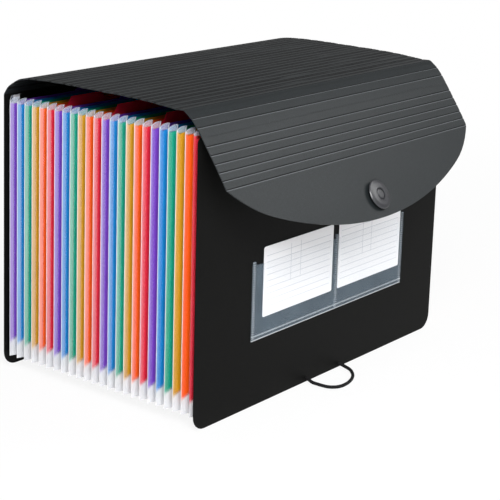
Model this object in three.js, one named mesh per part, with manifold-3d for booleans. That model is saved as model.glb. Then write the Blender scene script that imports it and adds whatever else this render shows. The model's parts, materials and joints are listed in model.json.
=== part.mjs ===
// An expanding file with 24 pockets: two black panels, a frosted pleated gusset, coloured pocket sheets,
// a creased lid with a round-ended flap, a button, an elastic loop and a label pocket with two cards.
// Millimetres, +Z up. X runs along the file's width and the front panel faces -Y.
import * as THREE from 'three';
import { mergeVertices, toCreasedNormals } from 'three/addons/utils/BufferGeometryUtils.js';
import Module from 'manifold-3d';

const wasm = await Module();
wasm.setup();

// Driving dimensions
const sheetWidth = 330; // width of the panels, the lid and the flap
const backHeight = 220.4; // back panel, from the table to the lid's first crease
const frontDrop = 2.2; // the front panel's top lies this far below the back panel's
const panelThickness = 0.8;
const panelCorner = 12; // radius of the panels' bottom corners
const frontTopCorner = 4;
const panelLean = 5; // how far the front panel's top leans back
const pocketCount = 24;
const pocketPitch = 8.06;
const touchGap = 0.3; // between pieces that are welded, seated or folded together

// Gusset: pleated frosted film at both sides and along the bottom
const filmThickness = 0.35;
const gussetInset = 1.5; // from a panel's side edge to the outer folds
const gussetDepth = 6; // from the outer folds to the inner folds
const gussetBottom = 10; // height of the outer folds above the table
const floorShare = 0.15; // how deep the pleats along the bottom are, as a share of those at the sides
const gussetRise = 3.4; // at the front the gusset's top lies this far above the back panel's top
const gussetFall = 5; // the gusset's top comes down this far from the front to the back
const gussetHeadroom = 1.8; // under the lid and the flap
const weldFlange = 8; // strip that lies against each panel
const tipRadius = 5.5; // round outer corner of each pleat's top
const cornerSegments = 6;

// Pocket sheets: one coloured sheet at each inner fold
const sheetThickness = 0.4;
const marginWidth = 5.6; // part of a sheet that is welded along the gusset's wall
const marginTopDrop = 5; // from the gusset's top to the top of the coloured margin
const sheetBottomRise = 7; // from the gusset's bottom to the sheet's edge
const marginFootRise = 11; // from the gusset's bottom to the foot of the coloured margin
const marginFootSlope = 4.5; // the margin's foot rises this far from its outer edge to the inner fold
const sheetCornerCut = 11; // slanting cut at the sheet's bottom corners
const sheetTopDrop = 3; // from the gusset's top to the sheet's top edge
const tabHeight = 6;
const tabWidth = 42;
const tabSlope = 4;
const tabPositions = 6;
const tabRowWidth = 290; // from the first tab's outer side to the last one's
const tabHeadroom = 2; // under the lid and the flap

// Lid: facets between creases, each with its angle above the horizontal, from the back panel forwards
const lidAngles = [
  56, 35, 28, 11, 6, 3, 4, 0, 3, -1, 2, -2, 1, 1, -2, 2, 0, -2, 1, -3, -1, -5, -3, -5, 3,
];
const bendSetback = 19; // from the front panel's face back to the crease where the lid bends down
const creaseWidth = 1.5;
const creaseDepth = 0.42;
const hingeRelief = 0.35; // how far a hinged edge stands back from the crease on the inner face

// Flap: angle of each creased facet and its length in pitches, then a plain round-ended part
const flapPitch = 6.9;
const flapFacets = [
  [-35.6, 1.32], [-48, 1.11], [-53.3, 1.1], [-53.7, 1.01], [-54.9, 1],
  [-53.3, 0.98], [-56, 0.95], [-55.5, 0.92], [-57.4, 0.95],
];
const flapHingeFacet = 3; // the flap swings at the crease after this many facets
const flapEndLength = 52; // from the last crease to the middle of the round end
const flapArcRadius = 335;
const flapCornerAngle = 41; // degrees that the outline turns where the side edge ends, at the last crease
const arcSegments = 32;

// Button on the flap
const buttonAlong = 34.5; // from the last crease to the button's centre
const buttonRadius = 12;
const buttonStemRadius = 5;
const buttonStemHeight = 2;
const buttonDiscThickness = 1.9;
const buttonRimDrop = 1.1;
const buttonWellRadius = 4.6;
const buttonWellDepth = 1.1;
const rivetRadius = 2;
const rivetHeadRadius = 4.2;
const rivetHeadHeight = 0.7;
const rivetFlangeRadius = 6;
const rivetFlangeThickness = 0.8;
const roundSegments = 40;

// Elastic loop at the foot of the front panel
const cordDiameter = 2.7;
const cordHoleSpacing = 46;
const cordHoleHeight = 2.7;
const cordSteps = 24;
const cordSides = 8;
const cordRest = 0.08; // the loop's clearance above the table
const cordTurns = [
  [-24.4, -7], [-24.6, -12], [-24.5, -16.5], [-23.6, -21.5], [-21.2, -25], [-16.6, -27.8], [-9.3, -28.6],
  [-0.8, -27.2], [9.4, -23.1], [16.5, -17.7], [21, -12.3], [23.2, -7],
];
const stopRadius = 2.5;
const stopLength = 5;
const stopFloor = 1;

// Label pocket on the front panel and the two cards in it
const labelWidth = 210;
const labelHeight = 62;
const labelBottom = 53;
const labelOffset = 6; // the pocket's middle, right of the panel's middle
const labelFilm = 0.3;
const labelSeam = 3.6; // width of the welded seams at the sides and in the middle
const labelSplit = 6.5; // the middle seam lies this far right of the pocket's middle
const labelFoot = 4; // width of the welded seam along the bottom
const labelMouthDrop = 3; // the open edges lie below the seams' tops
const cardRoom = 0.6; // beside a card, in the narrower compartment
const cardMiddleGap = 4; // from the left card to the middle seam
const cardHeight = 55;
const cardThickness = 0.3;
const cardCorner = 1.5;
const cardRise = 16; // from the label pocket's bottom edge to a card's bottom edge

// Places worked out from the driving dimensions
const frontHeight = backHeight - frontDrop;
const gussetTop = backHeight + gussetRise;
const cardWidth = labelWidth / 2 - labelSplit - 1.5 * labelSeam - 2 * cardRoom;
const outerFold = sheetWidth / 2 - gussetInset;
const frontFoldY = panelThickness + touchGap + filmThickness / 2;
const backFoldY = frontFoldY + pocketCount * pocketPitch;
const backPanelY = backFoldY + filmThickness / 2 + touchGap; // inner face of the back panel
const backLineY = backPanelY + panelThickness / 2;

// Outlines and prisms
const radians = THREE.MathUtils.degToRad;

function shapeOf(points) {
  return new THREE.Shape(points.map(([a, b]) => new THREE.Vector2(a, b)));
}

function prismAlongX(shape, x0, x1) {
  const prism = new THREE.ExtrudeGeometry(shape, { depth: x1 - x0, bevelEnabled: false });
  const axes = new THREE.Matrix4().makeBasis(
    new THREE.Vector3(0, 1, 0),
    new THREE.Vector3(0, 0, 1),
    new THREE.Vector3(1, 0, 0),
  );
  return prism.applyMatrix4(axes).translate(x0, 0, 0);
}

function prismAlongY(shape, y0, y1) {
  const prism = new THREE.ExtrudeGeometry(shape, { depth: y1 - y0, bevelEnabled: false });
  return prism.rotateX(Math.PI / 2).translate(0, y1, 0);
}

function prismAlongZ(shape, z0, z1) {
  return new THREE.ExtrudeGeometry(shape, { depth: z1 - z0, bevelEnabled: false }).translate(0, 0, z0);
}

function roundedRectangle(centre, bottom, width, height, lowRadius, highRadius) {
  const corners = [
    [centre + width / 2 - lowRadius, bottom + lowRadius, lowRadius, -90],
    [centre + width / 2 - highRadius, bottom + height - highRadius, highRadius, 0],
    [centre - width / 2 + highRadius, bottom + height - highRadius, highRadius, 90],
    [centre - width / 2 + lowRadius, bottom + lowRadius, lowRadius, 180],
  ];
  const points = [];
  corners.forEach(([x, z, radius, start]) => {
    const steps = radius > 0 ? cornerSegments : 0;
    for (let i = 0; i <= steps; i += 1) {
      const angle = radians(start + (steps > 0 ? 90 * i / steps : 0));
      points.push([x + radius * Math.cos(angle), z + radius * Math.sin(angle)]);
    }
  });
  return shapeOf(points);
}

function addHole(shape, x, z, radius, segments) {
  const ring = [];
  for (let i = 0; i < segments; i += 1) {
    const angle = 2 * Math.PI * i / segments;
    ring.push(new THREE.Vector2(x + radius * Math.cos(angle), z + radius * Math.sin(angle)));
  }
  shape.holes.push(new THREE.Path(ring));
}

function direction(from, to) {
  const length = Math.hypot(to[0] - from[0], to[1] - from[1]);
  return [(to[0] - from[0]) / length, (to[1] - from[1]) / length];
}

// The two sides of a sheet of constant thickness that follows points, with mitred folds
function offsetSides(points, thickness) {
  const left = [];
  const right = [];
  points.forEach((point, i) => {
    const before = i > 0 ? direction(points[i - 1], point) : direction(point, points[i + 1]);
    const after = i < points.length - 1 ? direction(point, points[i + 1]) : before;
    const scale = thickness / 2 / (1 + before[0] * after[0] + before[1] * after[1]);
    const dx = -(before[1] + after[1]) * scale;
    const dy = (before[0] + after[0]) * scale;
    left.push([point[0] + dx, point[1] + dy]);
    right.push([point[0] - dx, point[1] - dy]);
  });
  return { left, right };
}

function ribbon(points, thickness) {
  const { left, right } = offsetSides(points, thickness);
  return [...right, ...left.reverse()];
}

// Solids for joins and cuts
function solidOf(geometry) {
  const bare = geometry.clone();
  bare.deleteAttribute('normal');
  bare.deleteAttribute('uv');
  const merged = mergeVertices(bare, 1e-4);
  return new wasm.Manifold(new wasm.Mesh({
    numProp: 3,
    vertProperties: new Float32Array(merged.attributes.position.array),
    triVerts: new Uint32Array(merged.index.array),
  }));
}

function geometryOf(solid) {
  const mesh = solid.getMesh();
  const geometry = new THREE.BufferGeometry();
  geometry.setAttribute('position', new THREE.BufferAttribute(new Float32Array(mesh.vertProperties), 3));
  geometry.setIndex(new THREE.BufferAttribute(new Uint32Array(mesh.triVerts), 1));
  return geometry;
}

function common(a, b) {
  return geometryOf(solidOf(a).intersect(solidOf(b)));
}

function joined(pieces) {
  return geometryOf(wasm.Manifold.union(pieces.map(solidOf)));
}

function revolved(profile) {
  const area = THREE.ShapeUtils.area(profile.map(([a, b]) => new THREE.Vector2(a, b)));
  const outline = area < 0 ? [...profile].reverse() : profile;
  return geometryOf(wasm.Manifold.revolve([outline], roundSegments));
}

// Materials
function plastic(color, roughness, extra = {}) {
  return new THREE.MeshStandardMaterial({ color, roughness, metalness: 0, ...extra });
}

const blackPlastic = plastic(0x1b1c1e, 0.5);
const buttonPlastic = plastic(0x2c2d30, 0.35);
const elastic = plastic(0x111214, 0.85);
const frosted = plastic(0xdfe3ea, 0.4);
const pocketFilm = plastic(0x6f7f8f, 0.25);
const paper = plastic(0xf6f6f8, 0.8);
const sheetColours = [0x6b55c4, 0xe5405a, 0xf06a26, 0xdfb02f, 0x36b39b, 0x2f97e0];

const file = new THREE.Group();
file.name = 'expanding_file';

function add(name, geometry, material) {
  const mesh = new THREE.Mesh(toCreasedNormals(geometry, radians(35)), material);
  mesh.name = name;
  file.add(mesh);
  return mesh;
}

// Pieces between the panels follow the front panel as it leans back
function leaned(y, z) {
  return y + panelLean * z / frontHeight * (1 - y / backPanelY);
}

function leaning(geometry) {
  const position = geometry.attributes.position;
  for (let i = 0; i < position.count; i += 1) {
    position.setY(i, leaned(position.getY(i), position.getZ(i)));
  }
  return geometry;
}

// Side view of the cover sheet: up the back panel, over the lid and down the flap
function coverLine() {
  const run = backLineY - bendSetback;
  const lidPitch = run / lidAngles.reduce((sum, angle) => sum + Math.cos(radians(angle)), 0);
  const points = [[backLineY, 0], [backLineY, backHeight]];
  const step = (angle, length) => {
    const [y, z] = points[points.length - 1];
    points.push([y - length * Math.cos(radians(angle)), z + length * Math.sin(radians(angle))]);
  };
  lidAngles.forEach((angle) => step(angle, lidPitch));
  const hinge = points.length - 1 + flapHingeFacet;
  flapFacets.forEach(([angle, pitches]) => step(angle, pitches * flapPitch));
  const lastCrease = points.length - 1;
  step(flapFacets[flapFacets.length - 1][0], flapEndLength + 1);
  return { points, hinge, lastCrease };
}

const cover = coverLine();
const { right: outerSide, left: innerSide } = offsetSides(cover.points, panelThickness);

// A stretch of the cover sheet from one crease to another, creased on its outer face
function coverPiece(first, last) {
  const outer = [];
  const inner = [];
  for (let i = first; i <= last; i += 1) {
    const out = outerSide[i];
    const inn = innerSide[i];
    if (i > first && i < last) {
      const before = direction(outerSide[i - 1], out);
      const after = direction(out, outerSide[i + 1]);
      const inward = direction(out, inn);
      outer.push([out[0] - before[0] * creaseWidth / 2, out[1] - before[1] * creaseWidth / 2]);
      outer.push([out[0] + inward[0] * creaseDepth, out[1] + inward[1] * creaseDepth]);
      outer.push([out[0] + after[0] * creaseWidth / 2, out[1] + after[1] * creaseWidth / 2]);
      inner.push(inn);
    } else {
      const hinged = i > 0 && i < cover.points.length - 1;
      const along = i === first
        ? direction(cover.points[i], cover.points[i + 1])
        : direction(cover.points[i], cover.points[i - 1]);
      const outShift = hinged ? touchGap / 2 : 0;
      const innShift = hinged ? hingeRelief : 0;
      outer.push([out[0] + along[0] * outShift, out[1] + along[1] * outShift]);
      inner.push([inn[0] + along[0] * innShift, inn[1] + along[1] * innShift]);
    }
  }
  return prismAlongX(shapeOf([...outer, ...inner.reverse()]), -sheetWidth / 2, sheetWidth / 2);
}

// Height of the cover sheet's inner face at a given depth
function ceilingAt(y) {
  for (let i = 2; i < innerSide.length; i += 1) {
    const [y0, z0] = innerSide[i - 1];
    const [y1, z1] = innerSide[i];
    if (y <= y0 && y >= y1) return z0 + (z1 - z0) * (y0 - y) / (y0 - y1);
  }
  return backHeight;
}

// The gusset's top comes down from the front to the back, and stays under the cover
function gussetTopAt(y) {
  const free = gussetTop - gussetFall * y / backPanelY;
  return Math.min(free, ceilingAt(leaned(y, free)) - gussetHeadroom);
}

function levelled(geometry) {
  const position = geometry.attributes.position;
  for (let i = 0; i < position.count; i += 1) {
    const y = Math.max(position.getY(i), frontFoldY);
    position.setZ(i, position.getZ(i) * gussetTopAt(y) / gussetTop);
  }
  return geometry;
}

// Back panel, with round bottom corners
const backOutline = roundedRectangle(0, 0, sheetWidth, backHeight + 1, panelCorner, 0);
const backSlab = prismAlongY(backOutline, backPanelY - 1, backPanelY + 2);
add('back_panel', common(coverPiece(0, 1), backSlab), blackPlastic);

// Lid, from the back crease over the top to the crease where the flap swings
add('lid', coverPiece(1, cover.hinge), blackPlastic);

// The flap's plain part lies in a plane with its origin at the last crease
const flapOrigin = cover.points[cover.lastCrease];
const flapDown = direction(flapOrigin, cover.points[cover.lastCrease + 1]);
const flapFrame = new THREE.Matrix4().makeBasis(
  new THREE.Vector3(-1, 0, 0),
  new THREE.Vector3(0, flapDown[0], flapDown[1]),
  new THREE.Vector3(0, flapDown[1], -flapDown[0]),
).setPosition(0, flapOrigin[0], flapOrigin[1]);

function flapOutline() {
  const halfWidth = sheetWidth / 2;
  const centre = flapEndLength - flapArcRadius;
  const start = radians(flapCornerAngle);
  const towards = halfWidth * Math.cos(start) - centre * Math.sin(start);
  const excess = halfWidth ** 2 + centre ** 2 - flapArcRadius ** 2;
  const cornerRadius = excess / 2 / (towards - flapArcRadius);
  const cornerX = halfWidth - cornerRadius * Math.cos(start);
  const cornerS = -cornerRadius * Math.sin(start);
  const turn = Math.atan2(cornerS - centre, cornerX);
  const upperEnd = -2 * flapPitch * flapFacets.length;
  const points = [[-halfWidth, upperEnd], [halfWidth, upperEnd]];
  for (let i = 0; i <= cornerSegments; i += 1) {
    const angle = start + (turn - start) * i / cornerSegments;
    points.push([cornerX + cornerRadius * Math.cos(angle), cornerS + cornerRadius * Math.sin(angle)]);
  }
  for (let i = 1; i < arcSegments; i += 1) {
    const angle = turn + (Math.PI - 2 * turn) * i / arcSegments;
    points.push([flapArcRadius * Math.cos(angle), centre + flapArcRadius * Math.sin(angle)]);
  }
  for (let i = 0; i <= cornerSegments; i += 1) {
    const angle = Math.PI - turn + (turn - start) * i / cornerSegments;
    points.push([-cornerX + cornerRadius * Math.cos(angle), cornerS + cornerRadius * Math.sin(angle)]);
  }
  const shape = shapeOf(points);
  addHole(shape, 0, buttonAlong, rivetRadius + touchGap, roundSegments);
  return shape;
}

const flapCutter = prismAlongZ(flapOutline(), -30, 30).applyMatrix4(flapFrame);
add('flap', common(coverPiece(cover.hinge, cover.points.length - 1), flapCutter), blackPlastic);

// Button with its rivet, seated on the flap
const buttonFoot = panelThickness / 2 + touchGap;
const buttonUnder = buttonFoot + buttonStemHeight;
const buttonTop = buttonUnder + buttonDiscThickness;
const buttonBore = rivetRadius + touchGap;
const buttonProfile = [
  [buttonBore, buttonFoot],
  [buttonStemRadius, buttonFoot],
  [buttonStemRadius, buttonUnder],
  [buttonRadius - 0.8, buttonUnder - 0.2],
  [buttonRadius, buttonUnder],
  [buttonRadius, buttonTop - buttonRimDrop - 0.3],
  [buttonRadius - 0.6, buttonTop - buttonRimDrop + 0.3],
  [buttonRadius - 3, buttonTop - 0.25],
  [buttonWellRadius + 0.8, buttonTop],
  [buttonWellRadius, buttonTop - 0.3],
  [buttonWellRadius, buttonTop - buttonWellDepth],
  [buttonBore, buttonTop - buttonWellDepth],
];
const rivetSeat = buttonTop - buttonWellDepth + touchGap;
const rivetFlange = -panelThickness / 2 - touchGap;
const rivetProfile = [
  [0, rivetFlange - rivetFlangeThickness],
  [rivetFlangeRadius, rivetFlange - rivetFlangeThickness],
  [rivetFlangeRadius, rivetFlange],
  [rivetRadius, rivetFlange],
  [rivetRadius, rivetSeat],
  [rivetHeadRadius, rivetSeat],
  [rivetHeadRadius - 0.3, rivetSeat + rivetHeadHeight * 0.6],
  [rivetHeadRadius - 1.4, rivetSeat + rivetHeadHeight],
  [0, rivetSeat + rivetHeadHeight],
];
const toButton = flapFrame.clone().multiply(new THREE.Matrix4().makeTranslation(0, buttonAlong, 0));
add('button', revolved(buttonProfile).applyMatrix4(toButton), buttonPlastic);
add('button_rivet', revolved(rivetProfile).applyMatrix4(toButton), buttonPlastic);

// Front panel, with two holes near its foot for the elastic loop
const frontOutline = roundedRectangle(0, 0, sheetWidth, frontHeight, panelCorner, frontTopCorner);
const cordHoleRadius = cordDiameter / 2 + touchGap;
addHole(frontOutline, -cordHoleSpacing / 2, cordHoleHeight, cordHoleRadius, 20);
addHole(frontOutline, cordHoleSpacing / 2, cordHoleHeight, cordHoleRadius, 20);
add('front_panel', leaning(prismAlongY(frontOutline, 0, panelThickness)), blackPlastic);

// Gusset: one pleated film that runs down one side, along the bottom and up the other side
function gussetFolds() {
  const folds = [[gussetDepth + weldFlange, frontFoldY], [gussetDepth, frontFoldY]];
  for (let i = 0; i < pocketCount; i += 1) {
    const y = frontFoldY + i * pocketPitch;
    folds.push([0, y + pocketPitch / 2], [gussetDepth, y + pocketPitch]);
  }
  folds.push([gussetDepth + weldFlange, backFoldY]);
  return folds;
}

function gussetFilm() {
  const ring = ribbon(gussetFolds(), filmThickness);
  const stations = [
    (inset) => [inset - outerFold, gussetTop + 1],
    (inset) => [inset - outerFold, gussetBottom + floorShare * inset],
    (inset) => [outerFold - inset, gussetBottom + floorShare * inset],
    (inset) => [outerFold - inset, gussetTop + 1],
  ];
  const positions = [];
  const faces = [];
  stations.forEach((place, row) => {
    ring.forEach(([inset, y], i) => {
      const [x, z] = place(inset);
      positions.push(x, y, z);
      if (row === stations.length - 1) return;
      const a = row * ring.length + i;
      const b = row * ring.length + (i + 1) % ring.length;
      faces.push(a, a + ring.length, b + ring.length, a, b + ring.length, b);
    });
  });
  const contour = ring.map(([inset, y]) => new THREE.Vector2(inset, y));
  const lastRow = (stations.length - 1) * ring.length;
  THREE.ShapeUtils.triangulateShape(contour, []).forEach(([a, b, c]) => {
    faces.push(a, b, c, lastRow + c, lastRow + b, lastRow + a);
  });
  const film = new THREE.BufferGeometry();
  film.setAttribute('position', new THREE.BufferAttribute(new Float32Array(positions), 3));
  film.setIndex(faces);
  const reach = outerFold + 1;
  const outline = roundedRectangle(0, 0, 2 * outerFold + 0.4, gussetTop, 1, tipRadius);
  return common(film, prismAlongY(outline, -reach, backPanelY + reach));
}

add('bellows', leaning(levelled(gussetFilm())), frosted);

// Pocket sheets: each hangs at an inner fold, and its side margins follow the gusset's wall outwards
const wall = direction([gussetDepth, 0], [0, pocketPitch / 2]);
const standOff = (filmThickness + sheetThickness) / 2 + touchGap;
const sheetBend = gussetDepth - wall[1] * standOff + (1 - -wall[0]) / wall[1] * standOff;

function sheetOutline(index, gussetHere, top, tabTop) {
  const bendX = outerFold - sheetBend;
  const edgeX = outerFold;
  const bottom = gussetBottom + sheetBottomRise;
  const cutX = bendX - sheetCornerCut;
  const foot = gussetBottom + marginFootRise;
  const marginTop = gussetHere - marginTopDrop;
  const place = (index * 5) % tabPositions;
  const tabStart = -tabRowWidth / 2 + place * (tabRowWidth - tabWidth) / (tabPositions - 1);
  return shapeOf([
    [-cutX, bottom],
    [cutX, bottom],
    [bendX, foot + marginFootSlope],
    [edgeX, foot],
    [edgeX, marginTop - 2],
    [bendX - 1, Math.min(marginTop + 1, top)],
    [bendX - 6, top],
    [tabStart + tabWidth, top],
    [tabStart + tabWidth - tabSlope, tabTop],
    [tabStart + tabSlope, tabTop],
    [tabStart, top],
    [6 - bendX, top],
    [1 - bendX, Math.min(marginTop + 1, top)],
    [-edgeX, marginTop - 2],
    [-edgeX, foot],
    [-bendX, foot + marginFootSlope],
  ]);
}

for (let i = 0; i < pocketCount; i += 1) {
  const fold = frontFoldY + i * pocketPitch;
  const y = fold + standOff;
  const bendX = outerFold - sheetBend;
  const edgeX = bendX - wall[0] * marginWidth;
  const edgeY = y + wall[1] * marginWidth;
  const gussetHere = gussetTopAt(fold);
  const top = gussetHere - sheetTopDrop;
  const tabCeiling = ceilingAt(leaned(y, top) - 1) - tabHeadroom;
  const tabTop = Math.max(top + 1, Math.min(top + tabHeight, tabCeiling));
  const line = ribbon([[-edgeX, edgeY], [-bendX, y], [bendX, y], [edgeX, edgeY]], sheetThickness);
  const slab = prismAlongZ(shapeOf(line), gussetBottom, tabTop + 5);
  const cutter = prismAlongY(sheetOutline(i, gussetHere, top, tabTop), y - 3, y + 9);
  const colour = sheetColours[(i + 1) % sheetColours.length];
  const name = `pocket_sheet_${String(i + 1).padStart(2, '0')}`;
  add(name, leaning(common(slab, cutter)), plastic(colour, 0.35));
}

// Label pocket: a film welded at both sides, in the middle and along the foot
const cardFace = -touchGap - cardThickness;
const filmBack = cardFace - touchGap;
const filmFront = filmBack - labelFilm;
const labelLeft = labelOffset - labelWidth / 2;
const labelRight = labelOffset + labelWidth / 2;
const mouth = labelBottom + labelHeight - labelMouthDrop;

function labelBlock(x0, x1, z0, z1, back) {
  return prismAlongY(shapeOf([[x0, z0], [x1, z0], [x1, z1], [x0, z1]]), filmFront, back);
}

const labelTop = labelBottom + labelHeight;
const seamMiddle = labelOffset + labelSplit - labelSeam / 2;
const labelPieces = [
  labelBlock(labelLeft, labelRight, labelBottom, mouth, filmBack),
  labelBlock(labelLeft, labelRight, labelBottom, labelBottom + labelFoot, -touchGap),
  labelBlock(labelLeft, labelLeft + labelSeam, labelBottom, labelTop, -touchGap),
  labelBlock(seamMiddle, seamMiddle + labelSeam, labelBottom, labelTop, -touchGap),
  labelBlock(labelRight - labelSeam, labelRight, labelBottom, labelTop, -touchGap),
];
add('label_pocket', leaning(joined(labelPieces)), pocketFilm);

// Cards, side by side in the label pocket
const cardCentres = {
  left: seamMiddle - cardMiddleGap - cardWidth / 2,
  right: seamMiddle + labelSeam + cardRoom + cardWidth / 2,
};
Object.entries(cardCentres).forEach(([side, centre]) => {
  const outline = roundedRectangle(centre, labelBottom + cardRise, cardWidth, cardHeight, cardCorner, cardCorner);
  add(`label_card_${side}`, leaning(prismAlongY(outline, cardFace, -touchGap)), paper);
});

// Elastic loop: out of one hole, round on the table and back into the other, with a stop on each end
const cordEndY = panelThickness + touchGap + stopLength - stopFloor - touchGap;
const cordLow = cordDiameter / 2 + cordRest;

function cordPath() {
  const side = cordHoleSpacing / 2;
  const plan = [
    [-side, cordEndY], [-side, 3], [-side, 1.2], [-side, -0.6], [-side - 0.6, -3],
    ...cordTurns,
    [side + 0.2, -3], [side, -0.6], [side, 1.2], [side, 3], [side, cordEndY],
  ];
  const flat = new THREE.CatmullRomCurve3(plan.map(([x, y]) => new THREE.Vector3(x, y, 0)), false, 'centripetal');
  const raised = flat.getPoints(120).map((point) => {
    const share = THREE.MathUtils.smoothstep(point.y, -8, -0.6);
    return new THREE.Vector3(point.x, point.y, THREE.MathUtils.lerp(cordLow, cordHoleHeight, share));
  });
  return new THREE.CatmullRomCurve3(raised, false, 'centripetal');
}

function cordSection() {
  const points = [];
  for (let i = 0; i < cordSides; i += 1) {
    const angle = 2 * Math.PI * (i + 0.5) / cordSides;
    points.push([cordDiameter / 2 * Math.cos(angle), cordDiameter / 2 * Math.sin(angle)]);
  }
  return shapeOf(points);
}

const cord = new THREE.ExtrudeGeometry(cordSection(), {
  steps: cordSteps,
  bevelEnabled: false,
  extrudePath: cordPath(),
});
add('elastic_loop', cord, elastic);

['left', 'right'].forEach((side, i) => {
  const x = (i === 0 ? -1 : 1) * cordHoleSpacing / 2;
  const bore = cordDiameter / 2 + touchGap;
  const profile = [
    [0, stopLength - stopFloor],
    [bore, stopLength - stopFloor],
    [bore, 0],
    [stopRadius, 0],
    [stopRadius, stopLength - 0.6],
    [stopRadius - 0.6, stopLength],
    [0, stopLength],
  ];
  const stop = revolved(profile).rotateX(-Math.PI / 2);
  stop.translate(x, panelThickness + touchGap + 0.1, cordHoleHeight);
  add(`cord_end_${side}`, stop, buttonPlastic);
});

// The middle of the footprint lies at the origin, the loop on the table left out
const bounds = new THREE.Box3();
file.children.forEach((mesh) => {
  if (mesh.name === 'elastic_loop' || mesh.name.startsWith('cord_end')) return;
  mesh.geometry.computeBoundingBox();
  bounds.union(mesh.geometry.boundingBox);
});
const shift = -(bounds.min.y + bounds.max.y) / 2;
file.children.forEach((mesh) => mesh.geometry.translate(0, shift, 0));

export default file;
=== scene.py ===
"""The looks of an expanding file: grained black plastic, frosted gusset film over coloured sheets, a label
pocket with two printed cards, a button and an elastic loop. Lengths are in metres."""

import json
import math

import bpy
from mathutils import Matrix, Vector


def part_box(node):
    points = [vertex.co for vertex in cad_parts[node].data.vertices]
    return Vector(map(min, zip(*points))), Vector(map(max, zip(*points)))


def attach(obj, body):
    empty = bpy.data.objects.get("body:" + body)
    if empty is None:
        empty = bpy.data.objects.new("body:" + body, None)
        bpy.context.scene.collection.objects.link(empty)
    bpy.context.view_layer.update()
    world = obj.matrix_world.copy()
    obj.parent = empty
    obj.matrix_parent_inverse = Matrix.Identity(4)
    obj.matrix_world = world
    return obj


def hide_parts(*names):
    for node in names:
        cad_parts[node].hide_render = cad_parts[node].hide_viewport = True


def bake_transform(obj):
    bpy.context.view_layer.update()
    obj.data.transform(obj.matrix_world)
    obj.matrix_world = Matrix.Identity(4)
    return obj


MM = 0.001

# Film, sheets, cover and cards, as the CAD makes them
POCKETS = 24
FILM_THICKNESS = 0.35 * MM
GUSSET_DEPTH = 6 * MM
GUSSET_FALL = 5 * MM
MARGIN_WIDTH = 5.6 * MM
MARGIN_TOP_DROP = 5 * MM
MARGIN_FOOT_RISE = 11 * MM
MARGIN_FOOT_SLOPE = 4.5 * MM
TOUCH_GAP = 0.3 * MM
PANEL_LEAN = 5 * MM
LID_CREASE_PITCH = 7.28 * MM
LABEL_SEAM = 3.6 * MM
LABEL_CARD_ROOM = 0.6 * MM
CARDS = ("label_card_left", "label_card_right")

# Marks on the film
TIP_FADE = 1.4 * MM
FOOT_FADE = 4 * MM
KNURL_PITCH = 1.5 * MM

# Painted light in the cover's grooves: pale walls near the flap's crease as painted highlight, dark bands
# behind them as painted shade
PAINTED_HIGHLIGHT_REACH = 13 * MM
SHADE_BAND_START = 12 * MM
SHADE_BAND_GROWTH = 16 * MM
GROOVE_SHADE = 1.5 * MM

# Marks on the label pocket and its cards
STITCH_PITCH = 1.8 * MM
SEAM_LINE_OFFSET = 0.8 * MM
FOOT_LINE_HEIGHT = 3.2 * MM
CARD_ROWS = 11
CARD_COLUMNS = (0.38, 0.52)  # shares of the card's width
CARD_COLUMN_FOOT = 0.4  # share of the card's height

# The photograph's camera: angles in degrees, lens and sensor in millimetres
CAMERA_AZIMUTH = -53.457
CAMERA_ELEVATION = 16.438
CAMERA_ROLL = 2.697
CAMERA_DISTANCE = 1.3415
CAMERA_LENS = 111.03
CAMERA_SENSOR = 36
CAMERA_TARGET = (55.6 * MM, 120 * MM, 67.3 * MM)  # from the middle of the front panel's foot

# Light
WORLD_LIGHT = 0.27
FLOOR_WHITE = 0.88
LAMP_AIM = (0, 0, 0.12)

# Colours, as linear RGB
PANEL_BLACK = (0.0052, 0.0053, 0.005)
# The cover's black is painted several times lighter than the panels' black, though both are the same
# plastic: painted light
COVER_PAINTED_LIT_BLACK = (0.0175, 0.0215, 0.0235)
BUTTON_BLACK = (0.033, 0.034, 0.039)
# Painted shade in the cover's grooves, and the painted highlight on their lower walls
PAINTED_SHADE_BLACK = (0.0015, 0.0015, 0.0015)
PAINTED_HIGHLIGHT_GREY = (0.14, 0.15, 0.16)
CORD_BLACK = (0.003, 0.003, 0.0035)
CORD_LIGHT = (0.015, 0.015, 0.016)
FILM_WHITE = (0.86, 0.87, 0.9)
# White of the welds, and of the painted highlights on the film's folds and tips
WELD_AND_HIGHLIGHT_WHITE = (0.95, 0.95, 0.96)
TIP_GREY = (0.5, 0.56, 0.68)
LABEL_FILM = (0.45, 0.6, 0.74)
CARD_WHITE = (0.88, 0.88, 0.9)
CARD_INK = (0.5, 0.52, 0.57)
SHEET_COLOURS = {
    "sheet_red": (0.82, 0.018, 0.05),
    "sheet_orange": (0.94, 0.12, 0.006),
    "sheet_yellow": (0.66, 0.35, 0.012),
    "sheet_teal": (0.008, 0.4, 0.27),
    "sheet_blue": (0.008, 0.26, 0.7),
    "sheet_purple": (0.22, 0.06, 0.58),
}

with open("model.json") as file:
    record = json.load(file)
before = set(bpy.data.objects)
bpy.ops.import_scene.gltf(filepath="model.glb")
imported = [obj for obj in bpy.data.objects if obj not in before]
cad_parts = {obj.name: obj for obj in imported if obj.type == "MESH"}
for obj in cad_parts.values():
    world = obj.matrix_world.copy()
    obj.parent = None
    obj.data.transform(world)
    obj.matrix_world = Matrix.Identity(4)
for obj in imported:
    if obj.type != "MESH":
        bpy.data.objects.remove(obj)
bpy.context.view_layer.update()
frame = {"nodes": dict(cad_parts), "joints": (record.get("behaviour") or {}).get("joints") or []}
nodes = frame["nodes"]
panel_low, panel_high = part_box("front_panel")
back_low, back_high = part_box("back_panel")
film_low, film_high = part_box("bellows")
joints = {joint["name"]: joint for joint in frame["joints"]}


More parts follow.
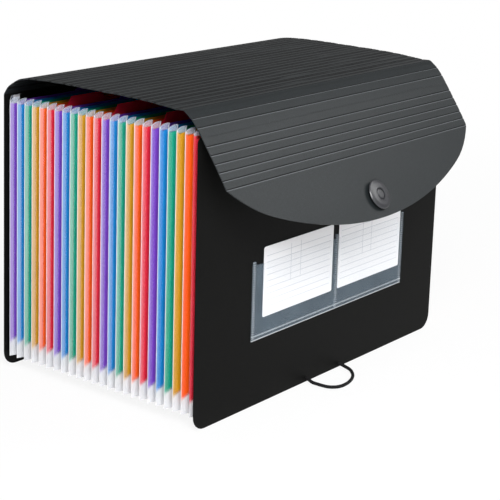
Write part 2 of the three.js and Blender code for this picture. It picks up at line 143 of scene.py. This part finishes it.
# Shader nodes
class Graph:
    """Short calls for building a material's node tree."""

    def __init__(self, name):
        self.material = bpy.data.materials.new(name)
        self.material.use_nodes = True
        self.tree = self.material.node_tree
        self.shader = self.tree.nodes["Principled BSDF"]

    def add(self, kind, **settings):
        node = self.tree.nodes.new(kind)
        for name, value in settings.items():
            setattr(node, name, value)
        return node

    def link(self, source, target):
        if isinstance(source, (int, float, tuple)):
            target.default_value = source
        else:
            self.tree.links.new(source, target)

    def math(self, operation, a, b=0.0, clamp=False):
        node = self.add("ShaderNodeMath", operation=operation, use_clamp=clamp)
        self.link(a, node.inputs[0])
        self.link(b, node.inputs[1])
        return node.outputs[0]

    def chain(self, operation, first, *others):
        for other in others:
            first = self.math(operation, first, other)
        return first

    def plus(self, *terms):
        return self.chain("ADD", *terms)

    def minus(self, a, b):
        return self.math("SUBTRACT", a, b)

    def times(self, *factors):
        return self.chain("MULTIPLY", *factors)

    def over(self, a, b):
        return self.math("DIVIDE", a, b)

    def most(self, *values):
        return self.chain("MAXIMUM", *values)

    def rest_of(self, share):
        return self.minus(1.0, share)

    def above(self, value, limit):
        return self.math("GREATER_THAN", value, limit)

    def ramp(self, value, start, length):
        """0 up to start, rising to 1 over length."""
        return self.math("DIVIDE", self.minus(value, start), length, clamp=True)

    def near(self, value, centre, half_width, soft):
        """1 where value is within half_width of centre, falling to 0 over soft."""
        distance = self.math("ABSOLUTE", self.minus(value, centre))
        inside = self.minus(half_width + soft, distance)
        return self.math("DIVIDE", inside, soft, clamp=True)

    def between(self, value, low, high, soft):
        return self.near(value, (low + high) / 2, (high - low) / 2 - soft / 2, soft)

    def mix(self, factor, a, b):
        node = self.add("ShaderNodeMix", data_type="RGBA")
        self.link(factor, node.inputs["Factor"])
        self.link(a if not isinstance(a, tuple) else (*a, 1), node.inputs[6])
        self.link(b if not isinstance(b, tuple) else (*b, 1), node.inputs[7])
        return node.outputs[2]

    def coordinates(self, kind):
        """A coordinate of the surface, as a vector and as its three numbers."""
        vector = self.add("ShaderNodeTexCoord").outputs[kind]
        split = self.add("ShaderNodeSeparateXYZ")
        self.link(vector, split.inputs[0])
        return vector, split.outputs

    def stretched(self, vector, x, y, z):
        node = self.add("ShaderNodeVectorMath", operation="MULTIPLY")
        self.link(vector, node.inputs[0])
        node.inputs[1].default_value = (x, y, z)
        return node.outputs[0]

    def noise(self, vector, scale, detail=2.0):
        node = self.add("ShaderNodeTexNoise")
        self.link(vector, node.inputs["Vector"])
        node.inputs["Scale"].default_value = scale
        node.inputs["Detail"].default_value = detail
        return node.outputs["Fac"]

    def bump(self, height, strength, distance):
        node = self.add("ShaderNodeBump")
        node.inputs["Strength"].default_value = strength
        node.inputs["Distance"].default_value = distance
        self.link(height, node.inputs["Height"])
        self.link(node.outputs[0], self.shader.inputs["Normal"])

    def set(self, **values):
        for name, value in values.items():
            socket = self.shader.inputs[name.replace("_", " ")]
            self.link((*value, 1) if isinstance(value, tuple) and len(value) == 3 else value, socket)

    def blend(self, share, second):
        """Shows share of a second shader over the material's own."""
        mixed = self.add("ShaderNodeMixShader")
        self.link(share, mixed.inputs[0])
        self.link(self.shader.outputs[0], mixed.inputs[1])
        self.link(second.outputs[0], mixed.inputs[2])
        self.link(mixed.outputs[0], self.tree.nodes["Material Output"].inputs["Surface"])


def shaded(colour, share):
    return tuple(channel * share for channel in colour)


def paint(name, material):
    materials = nodes[name].data.materials
    materials.clear()
    materials.append(material)


# Black plastic
def painted_band_shade(g, vector, from_bend):
    """Painted shade: streaky dark lines along the lid's grooves, faint near the bend and full further back.
    """
    streaks = g.noise(g.stretched(vector, 0.05, 1, 1), 260, 3.0)
    count = g.plus(g.over(from_bend, LID_CREASE_PITCH), 0.5)
    from_crease = g.minus(g.math("FRACT", count), 0.5)
    line = g.near(from_crease, 0.04, 0.09, 0.1)
    return g.times(line, g.ramp(streaks, 0.34, 1 / 6), g.ramp(from_bend, SHADE_BAND_START, SHADE_BAND_GROWTH))


def crease_shade_and_highlight(g, base):
    """The cover's colour and dullness with its pressed grooves: painted shade in them, with a painted
    highlight on the lower wall in front.
    """
    vector, axes = g.coordinates("Object")
    _, facing = g.coordinates("Normal")
    from_bend = g.minus(axes["Y"], joints["flap_hinge"]["pos_m"][1])
    in_front = g.math("LESS_THAN", from_bend, PAINTED_HIGHLIGHT_REACH)
    band_shade = g.times(painted_band_shade(g, vector, from_bend), g.rest_of(in_front))
    hollow = g.add("ShaderNodeAmbientOcclusion", samples=16, only_local=True)
    hollow.inputs["Distance"].default_value = GROOVE_SHADE
    # Painted shade where the grooves close in
    painted_groove_shade = g.math("MULTIPLY", g.minus(0.985, hollow.outputs["AO"]), 15.0, clamp=True)
    # Painted highlight on the grooves' upward lower walls in front
    painted_highlight = g.times(g.above(facing["Z"], 0.8), in_front, painted_groove_shade)
    base = g.mix(band_shade, base, PAINTED_SHADE_BLACK)
    base = g.mix(painted_groove_shade, base, PAINTED_SHADE_BLACK)
    dull = g.math("MAXIMUM", band_shade, g.minus(painted_groove_shade, painted_highlight), clamp=True)
    return g.mix(painted_highlight, base, PAINTED_HIGHLIGHT_GREY), dull


def grained_plastic(name, colour, roughness, grain, gloss, shade_creases=False):
    g = Graph(name)
    vector, _ = g.coordinates("Object")
    fine = g.noise(vector, 2600)
    broad = g.noise(vector, 22, 4.0)
    base = g.mix(broad, colour, shaded(colour, 1.3))
    speckle = g.ramp(g.noise(vector, 1100, 1.0), 0.4, 1 / 3)
    base = g.mix(speckle, shaded(colour, 0.7), base)
    rough = g.plus(g.times(fine, 0.1), roughness - 0.05)
    # Painted shade and a painted highlight in the cover's grooves
    if shade_creases:
        base, dull = crease_shade_and_highlight(g, base)
        rough = g.math("ADD", rough, g.times(dull, 0.5), clamp=True)
    g.set(Base_Color=base, Roughness=rough, Specular_IOR_Level=gloss)
    g.bump(fine, grain, 0.2 * MM)
    return g.material


# Frosted film
def unleaned(g, axes):
    """A point's distance behind the front panel's face as it would be with the panel upright."""
    depth = back_low.y - panel_low.y
    behind = g.minus(axes["Y"], panel_low.y)
    shift = g.times(axes["Z"], PANEL_LEAN / panel_high.z)
    share = g.rest_of(g.over(shift, depth))
    return g.over(g.minus(behind, shift), share)


def sheet_tint(g, pleat):
    """The colour of the sheet that is welded to a pleat."""
    tint = g.add("ShaderNodeValToRGB")
    tint.color_ramp.interpolation = "CONSTANT"
    stops = tint.color_ramp.elements
    for i, colour in enumerate(SHEET_COLOURS.values()):
        place = i / len(SHEET_COLOURS)
        stop = stops[i] if i < 2 else stops.new(place)
        stop.position = place
        stop.color = (*colour, 1)
    g.link(g.math("FRACT", g.over(pleat, len(SHEET_COLOURS))), tint.inputs[0])
    return tint.outputs[0]


def margin_masks(g, axes, pleat, turn, margin_end):
    """Where coloured margins lie behind the sides' film, and the clear tips above them."""
    side = g.above(g.math("ABSOLUTE", axes["X"]), film_high.x - GUSSET_DEPTH * 1.2)
    top = g.minus(film_high.z, g.times(pleat, GUSSET_FALL / POCKETS))
    under_tip = g.ramp(g.minus(top, axes["Z"]), MARGIN_TOP_DROP - TIP_FADE, TIP_FADE)
    slant = g.times(g.rest_of(g.over(turn, margin_end)), MARGIN_FOOT_SLOPE)
    above_foot = g.ramp(g.minus(axes["Z"], film_low.z + MARGIN_FOOT_RISE), slant, FOOT_FADE)
    return g.times(side, above_foot, under_tip), g.times(side, g.rest_of(under_tip))


def weld_dots(g, axes, turn, on_side, front):
    """The knurled weld beside each inner fold, which shows on the pleats in front."""
    knurl = g.math("FRACT", g.over(axes["Z"], KNURL_PITCH))
    return g.times(g.near(knurl, 0.5, 0.18, 0.12), g.near(turn, 0.05, 0.02, 0.012), on_side, front)


def fold_seams_and_highlights(g, pleat, turn, tip):
    """White lines on the outer folds, part weld seam and part painted highlight, and a painted highlight
    round the clear tips.
    """
    # Part weld seam, part painted highlight along each outer fold
    crest_seam_and_highlight = g.times(g.near(turn, 0.5, 0.018, 0.016), g.above(pleat, 1.0))
    _, facing = g.coordinates("Normal")
    edge_on = g.math("LESS_THAN", g.math("ABSOLUTE", facing["Y"]), 0.3)
    # Painted highlight on the tips' edge-on rims
    rim = g.times(edge_on, tip, g.above(facing["Z"], 0.1))
    return g.most(crest_seam_and_highlight, g.times(rim, 0.7))


def film_cover(g, cloud, turn, rear, margin_end, on_side, tip):
    """How much the film hides: little where it is welded to a sheet, more on free walls and to the rear."""
    welded = g.times(g.between(turn, 0.0, margin_end + 0.02, 0.03), on_side)
    milk = g.times(g.between(turn, 0.29, 0.56, 0.07), g.plus(0.1, g.times(rear, 0.45)))
    weld_cover = g.plus(0.01, g.times(milk, g.plus(0.6, cloud)))
    free_cover = g.plus(0.4, g.times(cloud, 0.2), g.times(on_side, 0.12))
    cover = g.plus(g.times(free_cover, g.rest_of(welded)), g.times(weld_cover, welded))
    return g.times(cover, g.rest_of(g.times(tip, 0.45)))


def frosted_film():
    g = Graph("frosted_film")
    vector, axes = g.coordinates("Object")
    fold_setback = TOUCH_GAP + FILM_THICKNESS / 2
    first_fold = back_high.y - back_low.y + fold_setback
    last_fold = back_low.y - panel_low.y - fold_setback
    pitch = (last_fold - first_fold) / POCKETS
    wall_slope = math.hypot(GUSSET_DEPTH, pitch / 2) / (pitch / 2)
    margin_end = MARGIN_WIDTH / wall_slope / pitch
    pleat = g.over(g.minus(unleaned(g, axes), first_fold), pitch)
    turn = g.math("FRACT", pleat)
    rear = g.math("DIVIDE", pleat, POCKETS, clamp=True)
    front = g.math("SUBTRACT", 1.0, g.times(pleat, 0.11), clamp=True)
    on_side, tip = margin_masks(g, axes, pleat, turn, margin_end)
    dots = weld_dots(g, axes, turn, on_side, front)
    # Weld dots and fold seams, with painted highlights on the folds and tip rims
    welds_and_highlights = g.most(dots, fold_seams_and_highlights(g, pleat, turn, tip))
    cloud = g.noise(g.stretched(vector, 1, 1, 0.04), 140)
    cover = film_cover(g, cloud, turn, rear, margin_end, on_side, tip)
    tinted = g.times(on_side, g.plus(0.68, g.times(front, 0.28)))
    body = g.mix(tinted, FILM_WHITE, sheet_tint(g, pleat))
    body = g.mix(tip, body, TIP_GREY)
    g.set(Base_Color=g.mix(welds_and_highlights, body, WELD_AND_HIGHLIGHT_WHITE), Alpha=g.most(cover, g.times(welds_and_highlights, 0.7)))
    g.set(Roughness=0.35, Specular_IOR_Level=0.12)
    g.bump(g.plus(g.noise(vector, 900), g.times(dots, 2.0)), 0.15, 0.3 * MM)
    return g.material


# Coloured sheets
def sheet_plastic(name, colour):
    g = Graph(name)
    vector, _ = g.coordinates("Object")
    streak = g.noise(vector, 35, 3.0)
    base = g.mix(streak, shaded(colour, 0.82), colour)
    g.set(Base_Color=base, Roughness=0.38, Specular_IOR_Level=0.2)
    g.bump(g.noise(vector, 1800), 0.1, 0.2 * MM)
    glow = g.add("ShaderNodeBsdfTranslucent")
    g.link(base, glow.inputs["Color"])
    g.blend(0.12, glow)
    return g.material


# Label pocket and cards
def stitches(g, along):
    """Short dashes along an axis."""
    return g.near(g.math("FRACT", g.over(along, STITCH_PITCH)), 0.5, 0.2, 0.1)


def label_seams(g, axes):
    """Two stitched lines in each upright seam, one along the foot, and the foot's bright rim."""
    low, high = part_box("label_pocket")
    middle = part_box("label_card_right")[0].x - LABEL_CARD_ROOM - LABEL_SEAM / 2
    upright = 0.0
    for centre in (low.x + LABEL_SEAM / 2, middle, high.x - LABEL_SEAM / 2):
        for side in (-SEAM_LINE_OFFSET, SEAM_LINE_OFFSET):
            upright = g.most(upright, g.near(axes["X"], centre + side, 0.15 * MM, 0.2 * MM))
    foot = g.near(axes["Z"], low.z + FOOT_LINE_HEIGHT, 0.25 * MM, 0.25 * MM)
    rim = g.near(axes["Z"], low.z, 0.15 * MM, 0.35 * MM)
    lines = g.most(g.times(upright, stitches(g, axes["Z"])), g.times(foot, stitches(g, axes["X"])))
    return g.math("MAXIMUM", lines, rim, clamp=True)


def card_mask(g, axes):
    """Where a card lies behind the label pocket's film."""
    mask = 0.0
    for name in CARDS:
        low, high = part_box(name)
        span = g.between(axes["X"], low.x, high.x, 0.3 * MM)
        mask = g.most(mask, g.times(span, g.above(axes["Z"], low.z)))
    return mask


def label_film():
    g = Graph("label_film")
    vector, axes = g.coordinates("Object")
    seams = label_seams(g, axes)
    haze = g.plus(0.06, g.times(g.noise(vector, 30, 3.0), 0.08))
    haze = g.times(haze, g.rest_of(g.times(card_mask(g, axes), 0.75)))
    g.set(Base_Color=g.mix(seams, LABEL_FILM, WELD_AND_HIGHLIGHT_WHITE), Alpha=g.most(haze, g.times(seams, 0.5)))
    g.set(Roughness=0.28, Specular_IOR_Level=0.5)
    return g.material


def printed_card(name):
    g = Graph(name)
    vector, axes = g.coordinates("Object")
    low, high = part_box(name)
    across = g.over(g.minus(axes["X"], low.x), high.x - low.x)
    up = g.over(g.minus(axes["Z"], low.z), high.z - low.z)
    rows = g.near(g.math("FRACT", g.times(up, CARD_ROWS)), 0.5, 0.02, 0.03)
    columns = g.most(*[g.near(across, place, 0.001, 0.003) for place in CARD_COLUMNS])
    columns = g.times(columns, g.above(up, CARD_COLUMN_FOOT))
    inside = g.times(g.between(across, 0.04, 0.96, 0.004), g.between(up, 0.05, 0.93, 0.01))
    ink = g.times(g.most(rows, columns), inside)
    fibre = g.noise(vector, 500, 4.0)
    paper = g.mix(fibre, CARD_WHITE, shaded(CARD_WHITE, 0.96))
    g.set(Base_Color=g.mix(ink, paper, CARD_INK), Roughness=0.75)
    g.bump(fibre, 0.1, 0.2 * MM)
    return g.material


# Elastic
def braided_cord():
    g = Graph("elastic")
    vector, _ = g.coordinates("Object")
    weave = g.add("ShaderNodeTexWave", wave_type="BANDS", bands_direction="DIAGONAL")
    g.link(vector, weave.inputs["Vector"])
    weave.inputs["Scale"].default_value = 420
    weave.inputs["Distortion"].default_value = 1.5
    strands = weave.outputs["Fac"]
    g.set(Base_Color=g.mix(strands, CORD_BLACK, CORD_LIGHT), Roughness=0.8, Specular_IOR_Level=0.2)
    g.bump(strands, 0.5, 0.4 * MM)
    return g.material


# Every piece but the elastic, which is drawn anew below, gets its material
panel_plastic = grained_plastic("panel_plastic", PANEL_BLACK, 0.55, 0.3, 0.06)
for name in ("back_panel", "front_panel"):
    paint(name, panel_plastic)
# The lid and flap get the panels' plastic painted lighter: painted light
cover_plastic = grained_plastic("cover_plastic", COVER_PAINTED_LIT_BLACK, 0.42, 0.35, 0.3, shade_creases=True)
for name in ("lid", "flap"):
    paint(name, cover_plastic)
button_plastic = grained_plastic("button_plastic", BUTTON_BLACK, 0.3, 0.1, 0.6)
for name in ("button", "button_rivet", "cord_end_left", "cord_end_right"):
    paint(name, button_plastic)
paint("bellows", frosted_film())
paint("label_pocket", label_film())
for name in CARDS:
    paint(name, printed_card(name))
sheet_materials = [sheet_plastic(name, colour) for name, colour in SHEET_COLOURS.items()]
for i in range(POCKETS):
    paint(f"pocket_sheet_{i + 1:02d}", sheet_materials[i % len(sheet_materials)])

# Hinge webs: the cover sheet runs on through the two creases at which it swings
WEB_REACH = 1.6 * MM
WEB_STEPS = 6
WEB_DEPTH = 0.45 * MM
WEB_THICKNESS = 0.3 * MM
WEB_INSET = 0.05 * MM


def hinge_web(name, joint, first_angle, second_angle):
    """A thin strip across a crease. The angles, in degrees, are the sheet's rise before and after it."""
    pivot = Vector(joint["pos_m"])
    half_width = (back_high.x - back_low.x) / 2 - WEB_INSET
    rows = []
    for step in range(-WEB_STEPS, WEB_STEPS + 1):
        angle = math.radians(first_angle if step < 0 else second_angle)
        if step == 0:
            angle = math.radians((first_angle + second_angle) / 2)
        along = Vector((0, -math.cos(angle), math.sin(angle)))
        inward = Vector((0, -math.sin(angle), -math.cos(angle)))
        middle = pivot + along * (WEB_REACH * step / WEB_STEPS) + inward * WEB_DEPTH
        rows.append([middle - inward * WEB_THICKNESS / 2, middle + inward * WEB_THICKNESS / 2])
    profile = [row[0] for row in rows] + [row[1] for row in reversed(rows)]
    count = len(profile)
    vertices = [(side * half_width, p.y, p.z) for side in (-1, 1) for p in profile]
    faces = [(i, (i + 1) % count, count + (i + 1) % count, count + i) for i in range(count)]
    last = count - 1
    for i in range(len(rows) - 1):
        faces.append((i, last - i, last - i - 1, i + 1))
        faces.append((count + i, count + i + 1, count + last - i - 1, count + last - i))
    mesh = bpy.data.meshes.new(name)
    mesh.from_pydata(vertices, [], faces)
    mesh.update()
    mesh.materials.append(cover_plastic)
    web = bpy.data.objects.new(name, mesh)
    bpy.context.collection.objects.link(web)
    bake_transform(web)


hinge_web("back_hinge_web", joints["lid_hinge"], 90, 56)
hinge_web("flap_hinge_web", joints["flap_hinge"], -53.3, -53.7)

# Elastic loop: the route that the CAD takes, in millimetres from the middle of the front panel's foot
CORD_DIAMETER = 2.7 * MM
HOLE_SIDE = 23
HOLE_HEIGHT = 2.7
CORD_END = 4.8
CORD_LOW = 1.43
CORD_RISE = (-8, -0.6)  # the cord climbs from the table to the holes between these depths
CORD_IN_HOLE = (CORD_END, 3, 1.2, -0.6)
CORD_TURNS = [
    (-23.6, -3), (-24.4, -7), (-24.6, -12), (-24.5, -16.5), (-23.6, -21.5), (-21.2, -25), (-16.6, -27.8),
    (-9.3, -28.6), (-0.8, -27.2), (9.4, -23.1), (16.5, -17.7), (21, -12.3), (23.2, -7), (23.2, -3),
]


def smooth(value, low, high):
    share = min(max((value - low) / (high - low), 0), 1)
    return share * share * (3 - 2 * share)


def cord_points():
    """The loop's route: out of the left hole, round in front of the panel and into the right hole."""
    plan = [(-HOLE_SIDE, y) for y in CORD_IN_HOLE]
    plan += CORD_TURNS
    plan += [(HOLE_SIDE, y) for y in reversed(CORD_IN_HOLE)]
    points = []
    for x, y in plan:
        z = CORD_LOW + (HOLE_HEIGHT - CORD_LOW) * smooth(y, *CORD_RISE)
        points.append(Vector((x * MM, panel_low.y + y * MM, z * MM)))
    return points


def elastic_loop():
    points = cord_points()
    curve = bpy.data.curves.new("elastic_loop_cord", "CURVE")
    curve.dimensions = "3D"
    curve.bevel_depth = CORD_DIAMETER / 2
    curve.bevel_resolution = 4
    curve.resolution_u = 8
    curve.use_fill_caps = True
    spline = curve.splines.new("BEZIER")
    spline.bezier_points.add(len(points) - 1)
    for bezier, point in zip(spline.bezier_points, points):
        bezier.co = point
        bezier.handle_left_type = "AUTO"
        bezier.handle_right_type = "AUTO"
    curve.materials.append(braided_cord())
    loop = bpy.data.objects.new("elastic_loop_cord", curve)
    bpy.context.collection.objects.link(loop)
    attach(loop, "file")
    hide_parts("elastic_loop")


elastic_loop()


# Stage: a pale floor that fades to white
def studio_floor():
    bpy.ops.mesh.primitive_plane_add(size=8, location=(0, 0, -0.0004))
    floor = bpy.context.object
    floor.name = "floor"
    g = Graph("floor")
    g.set(Base_Color=(0.9, 0.9, 0.9), Roughness=0.9, Specular_IOR_Level=0.0)
    white = g.add("ShaderNodeEmission")
    white.inputs["Color"].default_value = (1, 1, 1, 1)
    path = g.add("ShaderNodeLightPath")
    seen = g.most(path.outputs["Is Camera Ray"], path.outputs["Is Glossy Ray"])
    _, axes = g.coordinates("Object")
    away = g.plus(g.times(axes["X"], axes["X"]), g.times(axes["Y"], axes["Y"]))
    fade = g.ramp(away, 0.15, 1.0)
    g.blend(g.times(seen, g.plus(FLOOR_WHITE, g.times(fade, 1 - FLOOR_WHITE))), white)
    floor.data.materials.append(g.material)


def studio_world():
    world = bpy.data.worlds.new("studio")
    bpy.context.scene.world = world
    world.use_nodes = True
    tree = world.node_tree
    background = tree.nodes["Background"]
    background.inputs["Color"].default_value = (1, 1, 1, 1)
    path = tree.nodes.new("ShaderNodeLightPath")
    strength = tree.nodes.new("ShaderNodeMath")
    strength.operation = "MAXIMUM"
    strength.inputs[1].default_value = WORLD_LIGHT
    tree.links.new(path.outputs["Is Camera Ray"], strength.inputs[0])
    tree.links.new(strength.outputs[0], background.inputs["Strength"])


def lamp(name, place, size, power):
    light = bpy.data.lights.new(name, "AREA")
    light.size = size
    light.energy = power
    lamp_object = bpy.data.objects.new(name, light)
    bpy.context.collection.objects.link(lamp_object)
    lamp_object.location = place
    towards = Vector(LAMP_AIM) - Vector(place)
    lamp_object.rotation_euler = towards.to_track_quat("-Z", "Y").to_euler()


def photograph_camera():
    azimuth = math.radians(CAMERA_AZIMUTH)
    elevation = math.radians(CAMERA_ELEVATION)
    roll = math.radians(CAMERA_ROLL)
    back = Vector((
        math.sin(azimuth) * math.cos(elevation),
        -math.cos(azimuth) * math.cos(elevation),
        math.sin(elevation),
    ))
    level_right = (-back).cross(Vector((0, 0, 1))).normalized()
    level_up = level_right.cross(-back)
    right = level_right * math.cos(roll) + level_up * math.sin(roll)
    up = -level_right * math.sin(roll) + level_up * math.cos(roll)
    target = Vector(CAMERA_TARGET) + Vector((0, panel_low.y, 0))
    place = target + back * CAMERA_DISTANCE
    data = bpy.data.cameras.new("photograph_camera")
    data.lens = CAMERA_LENS
    data.sensor_width = CAMERA_SENSOR
    data.clip_start = 0.05
    camera = bpy.data.objects.new("photograph_camera", data)
    bpy.context.collection.objects.link(camera)
    turn = Matrix((right, up, back)).transposed().to_4x4()
    camera.matrix_world = Matrix.Translation(place) @ turn
    bpy.context.scene.camera = camera


studio_floor()
studio_world()
lamp("key", (-1.0, -1.0, 1.3), 0.9, 36)
lamp("sheen", (0.95, -0.85, 0.95), 0.5, 4.2)
lamp("front", (-0.6, -1.9, 0.7), 1.6, 9)
lamp("right", (1.6, 0.35, 0.2), 0.5, 8)
photograph_camera()

bpy.context.scene.view_settings.view_transform = "Standard"
